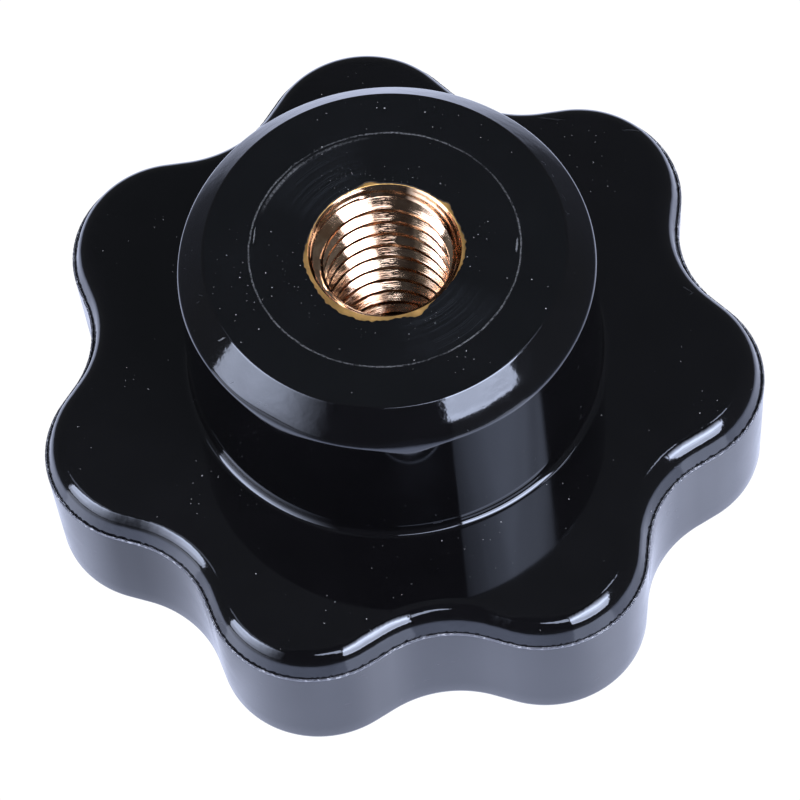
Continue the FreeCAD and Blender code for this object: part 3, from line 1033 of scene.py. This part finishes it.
def scratch_group():
    """Fine lines: Spacing is in millimetres, Width is a share of it and Amount sets how many show."""
    tree = new_group("hair_scratches", "Mask", Spacing=1.5, Width=0.02, Amount=0.5)
    given = given_inputs(tree)
    scale = per_metre(tree, given["Spacing"])
    place = object_place(tree)
    bent = noise(tree, place, 0.1, 1, "Color")
    drift = vector_node(tree, "MULTIPLY_ADD", bent, Vector((1, 1, 1)) * SCRATCH_DRIFT, place)
    lines = 0
    for number, turn in enumerate(SCRATCH_TURNS):
        lie = (0.3 * number, 0.2, turn)
        turned = add_node(tree, "ShaderNodeMapping", Vector=drift, Rotation=lie, Scale=SCRATCH_STRETCH)
        cells = add_node(tree, "ShaderNodeTexVoronoi", {"feature": "DISTANCE_TO_EDGE"},
                         Vector=turned.outputs[0], Scale=scale)
        line = math_node(tree, "LESS_THAN", cells.outputs["Distance"], given["Width"])
        shown = math_node(tree, "LESS_THAN", noise(tree, turned.outputs[0], 1.1, 2), given["Amount"])
        lines = math_node(tree, "MAXIMUM", lines, math_node(tree, "MULTIPLY", line, shown))
    add_node(tree, "NodeGroupOutput", Mask=lines)
    return tree


scratches = scratch_group()
print("scratches in", len(SCRATCH_TURNS), "directions")

# %% [markdown]
# ### Cloudy polish
# No moulded face is evenly glossy. Release wax and fingers leave cloudy patches.
# The group turns noise into a value between a low and a high, ready for Roughness.


# %% Cloud group
def cloud_group():
    """A cloudy value between Low and High: Size is the patches' size in millimetres."""
    tree = new_group("cloudy_value", "Value", Low=0.0, High=1.0, Size=6.0)
    given = given_inputs(tree)
    fog = add_node(tree, "ShaderNodeTexNoise", Vector=object_place(tree), Detail=5, Roughness=0.6,
                   Scale=per_metre(tree, given["Size"])).outputs["Fac"]
    span = math_node(tree, "SUBTRACT", given["High"], given["Low"])
    value = math_node(tree, "MULTIPLY_ADD", smooth_step(tree, fog, 0.3, 0.7), span, given["Low"])
    add_node(tree, "NodeGroupOutput", Value=value)
    return tree


clouds = cloud_group()
print("cloud group:", clouds.name)

# %% [markdown]
# ### Turned rings
# A lathe and a polishing wheel leave rings round the axis, each a little different.
# Noise that is fed only the distance from the axis and the height gives such rings anywhere.


# %% Ring group
def ring_group():
    """Rings round the axis: Spacing is in millimetres, and Height runs from 0 to 1."""
    tree = new_group("turned_rings", "Height", Spacing=0.1)
    level = add_node(tree, "ShaderNodeSeparateXYZ", Vector=object_place(tree)).outputs["Z"]
    both = add_node(tree, "ShaderNodeCombineXYZ", X=flat_place(tree)[1], Y=level).outputs[0]
    ring = add_node(tree, "ShaderNodeTexNoise", {"noise_dimensions": "2D"}, Vector=both, Detail=3,
                    Scale=per_metre(tree, given_inputs(tree)["Spacing"]))
    add_node(tree, "NodeGroupOutput", Height=ring.outputs["Fac"])
    return tree


rings = ring_group()
print("ring group:", rings.name)

# %% [markdown]
# ### Marks and painted highlights on the end face
# The witness ring carries a pale painted highlight where its groove catches the light, and a fainter one
# runs inside it for a stretch.
# In two patches the arcs of the tool that cut the mould catch the light, and there they get a painted
# highlight.
# The ring is a narrow band about one radius, broken up by noise. The arcs are rings, shown only
# near two angles.

# %% End face marks and painted highlights
# The two patches where the tool's arcs and the inner ring catch the light, as painted highlights
HIGHLIGHT_PATCHES = [math.radians(134), math.radians(-48)]
SECOND_RING = 0.3 * MM
WOBBLE = 0.12 * MM


def near_patch(tree, across, angle, spread):
    """One towards an angle, and nothing further than a spread from it."""
    facing = vector_node(tree, "NORMALIZE", across)
    turned = vector_node(tree, "DOT_PRODUCT", facing, direction(angle, 0))
    return smooth_step(tree, turned, math.cos(spread), 1)


def witness_highlight_group():
    """The painted highlight on the ring where the mould's stop left its line, and the fainter one inside
    it.
    """
    tree = new_group("witness_ring_highlight", "Mask")
    across, radius = flat_place(tree)
    off = math_node(tree, "SUBTRACT", radius, WITNESS_RADIUS + WOBBLE / 2)
    off = math_node(tree, "MULTIPLY_ADD", noise(tree, across, 0.9, 4), WOBBLE, off)
    near = smooth_step(tree, math_node(tree, "ABSOLUTE", off), 0.09 * MM, 0.01 * MM)
    second = math_node(tree, "ABSOLUTE", math_node(tree, "ADD", off, SECOND_RING))
    second = smooth_step(tree, second, 0.16 * MM, 0.02 * MM)
    second = math_node(tree, "MULTIPLY", second, near_patch(tree, across, HIGHLIGHT_PATCHES[0], 0.6))
    mask = math_node(tree, "MAXIMUM", near, second)
    mask = math_node(tree, "MULTIPLY", mask, smooth_step(tree, noise(tree, across, 6, 4), 0.28, 0.68))
    mask = math_node(tree, "MULTIPLY", mask, smooth_step(tree, noise(tree, across, 0.2, 1), 0.2, 0.55))
    add_node(tree, "NodeGroupOutput", Mask=mask)
    return tree


def tool_mark_highlight_group():
    """The cutter's arcs as a painted highlight: fine rings inside the pale one, near the two patches."""
    tree = new_group("tool_mark_highlights", "Mask")
    across, radius = flat_place(tree)
    line = smooth_step(tree, place_group(tree, rings, Spacing=0.05), 0.50, 0.66)
    inside = smooth_step(tree, radius, WITNESS_RADIUS, WITNESS_RADIUS - 0.5 * MM)
    shown = math_node(tree, "MAXIMUM", *[near_patch(tree, across, angle, 0.55) for angle in HIGHLIGHT_PATCHES])
    mask = math_node(tree, "MULTIPLY", math_node(tree, "MULTIPLY", line, inside), shown)
    add_node(tree, "NodeGroupOutput", Mask=mask)
    return tree


witness = witness_highlight_group()
tool_mark_highlights = tool_mark_highlight_group()
print("end face marks:", [group.name for group in (witness, tool_mark_highlights)])

# %% [markdown]
# ### Chip, hair, lint and crumbs
# A chip, a hair mark and a bit of lint lie at places of their own, so each is a small ragged ellipse.
# Fine crumbs lie round the mouth, and the broken edge of the flash is noise again,
# so coarse that each crumb there is light or dark.

# %% Small marks
# The chip, the hair mark and the lint, each as its place and its half sizes in millimetres
SINGLE_MARKS = [(8.70, 0.84, 0.08, 0.65), (-8.74, 0.45, 0.05, 0.75), (-10.09, -7.36, 0.34, 0.07)]
MARK_DEPTH = 2 * MM
RAGGED = 0.16 * MM
ALL_WAYS = Vector((1, 1, 1))


def single_mark_group():
    """The chip, the hair mark and the lint, with ragged edges."""
    tree = new_group("single_marks", "Mask")
    ragged = noise(tree, object_place(tree), 5, 3, "Color")
    moved = vector_node(tree, "MULTIPLY_ADD", ragged, ALL_WAYS * RAGGED, object_place(tree))
    marks = 0
    for x, y, half_x, half_y in SINGLE_MARKS:
        centre = Vector((x * MM, y * MM, HUB_TOP)) + ALL_WAYS * RAGGED / 2
        off = vector_node(tree, "SUBTRACT", moved, centre)
        off = vector_node(tree, "DIVIDE", off, (half_x * MM, half_y * MM, MARK_DEPTH))
        mark = smooth_step(tree, vector_node(tree, "LENGTH", off), 1, 0.6)
        marks = math_node(tree, "MAXIMUM", marks, mark)
    add_node(tree, "NodeGroupOutput", Mask=marks)
    return tree


def mouth_dust_group():
    """The fine crumbs that lie round the mouth."""
    tree = new_group("mouth_dust", "Mask")
    fine = place_group(tree, dust_on_flats, Spacing=0.32, Density=0.45, Size=0.09)
    near = smooth_step(tree, flat_place(tree)[1], 7.6 * MM, 5.9 * MM)
    add_node(tree, "NodeGroupOutput", Mask=math_node(tree, "MULTIPLY", fine, near))
    return tree


def crumb_group():
    """Light crumbs on the broken edge."""
    tree = new_group("broken_crumbs", "Mask")
    coarse = noise(tree, object_place(tree), 5, 3)
    add_node(tree, "NodeGroupOutput", Mask=smooth_step(tree, coarse, 0.52, 0.66))
    return tree


single_marks = single_mark_group()
mouth_dust = mouth_dust_group()
crumbs = crumb_group()
print("small marks:", [group.name for group in (single_marks, mouth_dust, crumbs)])

# %% [markdown]
# ## Colours and bumps
# Two things are done for every finish. Marks and painted highlights are mixed into the colour one after
# the other, and the bumps are stacked, each on the normal that the one below it gives.


# %% Finish helpers
def mixed(tree, mask, first, second):
    """A colour that goes from first to second as the mask goes from 0 to 1."""
    return add_node(tree, "ShaderNodeMix", {"data_type": "RGBA"}, i0=mask, i6=first, i7=second).outputs[2]


def bumped(tree, height, depth, below=None):
    """The normal of a surface that rises and falls by a depth, on top of the bump below it."""
    inputs = {"Height": height, "Distance": depth, "Strength": 1}
    if below is not None:
        inputs["Normal"] = below
    return add_node(tree, "ShaderNodeBump", **inputs).outputs[0]


# %% [markdown]
# ## The black moulding
# Phenolic resin is black all through and takes a high polish from its mould.
# One function makes every black finish, because they differ only in polish, colour and marks.
# Colour and polish come from the groups. What is the same all over is set on the shader itself.

# %% Black finishes
RESIN_BLACK = (0.0025, 0.0024, 0.0028, 1)
RESIN_IOR = 1.6
RESIN_TINT = (0.80, 0.87, 1.0, 1)
DUST_COLOUR = (0.46, 0.46, 0.46, 1)
SCRATCH_COLOUR = (0.012, 0.0125, 0.014, 1)
DARKER = 0.8
DUST_ROUGHNESS = 0.7
SCRATCH_ROUGHNESS = 0.3


def black_finish(name, colour, polish, dusty, scratched, grain, wave=0, ripple=0, marks=(),
                 dust=dust_on_walls):
    """A black resin finish. Wave, ripple and grain are the depths of its slow, middle and fine bumps."""
    material = empty_material(name)
    tree = material.node_tree
    specks = place_group(tree, dust, Spacing=0.55, Density=dusty, Size=0.075)
    hairs = place_group(tree, scratches, Spacing=1.6, Width=0.012, Amount=scratched)
    shade = place_group(tree, clouds, Low=0.0, High=1.0, Size=3.0)
    base = mixed(tree, shade, tuple(DARKER * part for part in colour[:3]) + (1,), colour)
    base = mixed(tree, hairs, base, SCRATCH_COLOUR)
    for group, tone in marks:
        base = mixed(tree, place_group(tree, group), base, tone)
    base = mixed(tree, specks, base, DUST_COLOUR)
    rough = place_group(tree, clouds, Low=polish[0], High=polish[1], Size=5.0)
    rough = math_node(tree, "MAXIMUM", rough, math_node(tree, "MULTIPLY", specks, DUST_ROUGHNESS))
    rough = math_node(tree, "MAXIMUM", rough, math_node(tree, "MULTIPLY", hairs, SCRATCH_ROUGHNESS))
    normal = None
    for per_mm, detail, depth in ((0.22, 1, wave), (1.4, 2, ripple), (3.5, 4, grain)):
        if depth:
            normal = bumped(tree, noise(tree, object_place(tree), per_mm, detail), depth, normal)
    shader = add_node(tree, "ShaderNodeBsdfPrincipled", Base_Color=base, Roughness=rough, IOR=RESIN_IOR,
                      Specular_Tint=RESIN_TINT, Normal=normal)
    add_node(tree, "ShaderNodeOutputMaterial", Surface=shader.outputs[0])
    return material


# %% [markdown]
# Each part of the moulding gets its own values. The wall came from a duller mould half, the face
# and the hub are mirrors, and the rounded edge and the chamfer were buffed, so they ripple.
# The torn edges are rough and a little paler.

# %% Black finishes for each part
# The witness ring's and the tool arcs' tones are painted highlights, where their grooves catch the light
WITNESS_HIGHLIGHT = (0.11, 0.113, 0.118, 1)
SINGLE_TONE = (0.10, 0.104, 0.11, 1)
TOOL_MARK_HIGHLIGHT = (0.016, 0.018, 0.021, 1)
CRUMB_TONE = (0.30, 0.31, 0.34, 1)
END_FACE_MARKS_AND_HIGHLIGHTS = [(tool_mark_highlights, TOOL_MARK_HIGHLIGHT), (witness, WITNESS_HIGHLIGHT), (single_marks, SINGLE_TONE),
                  (mouth_dust, DUST_COLOUR)]
BLACK_FINISHES = {
    "underside": black_finish("satin_underside", (0.004, 0.004, 0.0045, 1), (0.30, 0.42), dusty=0.2,
                              scratched=0.5, grain=1.2 * MICRON),
    "side_wall": black_finish("satin_side_wall", (0.004, 0.004, 0.005, 1), (0.12, 0.22), dusty=0.03,
                              scratched=0.3, grain=0.6 * MICRON, wave=3 * MICRON),
    "flash": black_finish("broken_flash", (0.10, 0.105, 0.125, 1), (0.25, 0.5), dusty=0, scratched=0,
                          grain=6 * MICRON, marks=[(crumbs, CRUMB_TONE)]),
    "bead": black_finish("polished_bead", RESIN_BLACK, (0.03, 0.08), dusty=0.35, scratched=0.3,
                         grain=0.8 * MICRON, wave=3 * MICRON, ripple=12 * MICRON),
    "grip": black_finish("polished_grip", RESIN_BLACK, (0.03, 0.07), dusty=0.2, scratched=0.24,
                         grain=0.1 * MICRON, wave=4 * MICRON, dust=dust_on_flats),
    "hub": black_finish("polished_hub", RESIN_BLACK, (0.03, 0.07), dusty=0.08, scratched=0.24,
                        grain=0.1 * MICRON, wave=3 * MICRON),
    "chamfer": black_finish("polished_chamfer", RESIN_BLACK, (0.06, 0.14), dusty=0.05, scratched=0.3,
                            grain=0.6 * MICRON, wave=2 * MICRON, ripple=9 * MICRON,
                            marks=[(single_marks, SINGLE_TONE)]),
    "end_face": black_finish("turned_end_face", (0.0024, 0.0026, 0.003, 1), (0.12, 0.22), dusty=0.2,
                             scratched=0.26, grain=0.4 * MICRON, wave=1 * MICRON,
                             marks=END_FACE_MARKS_AND_HIGHLIGHTS, dust=dust_on_flats),
    "film": black_finish("torn_film", (0.006, 0.006, 0.006, 1), (0.5, 0.7), dusty=0.1, scratched=0.4,
                         grain=2 * MICRON),
    "seat": black_finish("moulded_seat", (0.004, 0.004, 0.004, 1), (0.3, 0.5), dusty=0, scratched=0.3,
                         grain=1 * MICRON),
}
for finish in BODY_FINISHES:
    knob.data.materials.append(BLACK_FINISHES[finish])
print("black finishes:", list(BLACK_FINISHES))

# %% [markdown]
# ## The brass
# The thread was cut with a tap and is bright, with fine rings left by the cutting edges.
# The end face was turned and then lay under resin, so it is dull and tan.


# %% Brass finishes
def brass_finish(name, bright, dull, polish, ring_depth, ring_spacing, grain):
    """A brass finish that drifts between a bright and a dull colour, with turned rings."""
    material = empty_material(name)
    tree = material.node_tree
    base = mixed(tree, place_group(tree, clouds, Low=0.0, High=1.0, Size=1.6), bright, dull)
    rough = place_group(tree, clouds, Low=polish[0], High=polish[1], Size=1.0)
    ring = bumped(tree, place_group(tree, rings, Spacing=ring_spacing), ring_depth)
    normal = bumped(tree, noise(tree, object_place(tree), 6, 3), grain, ring)
    shader = add_node(tree, "ShaderNodeBsdfPrincipled", Base_Color=base, Metallic=1.0, Roughness=rough,
                      Normal=normal)
    add_node(tree, "ShaderNodeOutputMaterial", Surface=shader.outputs[0])
    return material


BRASS_FINISHES = {
    "thread": brass_finish("tapped_brass", (0.88, 0.66, 0.48, 1), (0.50, 0.31, 0.20, 1), (0.06, 0.14),
                           ring_depth=5 * MICRON, ring_spacing=0.08, grain=0.6 * MICRON),
    "brass_end": brass_finish("dull_brass_end", (0.80, 0.50, 0.18, 1), (0.56, 0.34, 0.12, 1), (0.45, 0.6),
                              ring_depth=2 * MICRON, ring_spacing=0.12, grain=2 * MICRON),
    "barrel": brass_finish("knurled_brass", (0.70, 0.48, 0.25, 1), (0.5, 0.33, 0.16, 1), (0.3, 0.45),
                           ring_depth=2 * MICRON, ring_spacing=0.12, grain=1 * MICRON),
}
for finish in BUSH_FINISHES:
    bush.data.materials.append(BRASS_FINISHES[finish])
print("brass finishes:", list(BRASS_FINISHES))
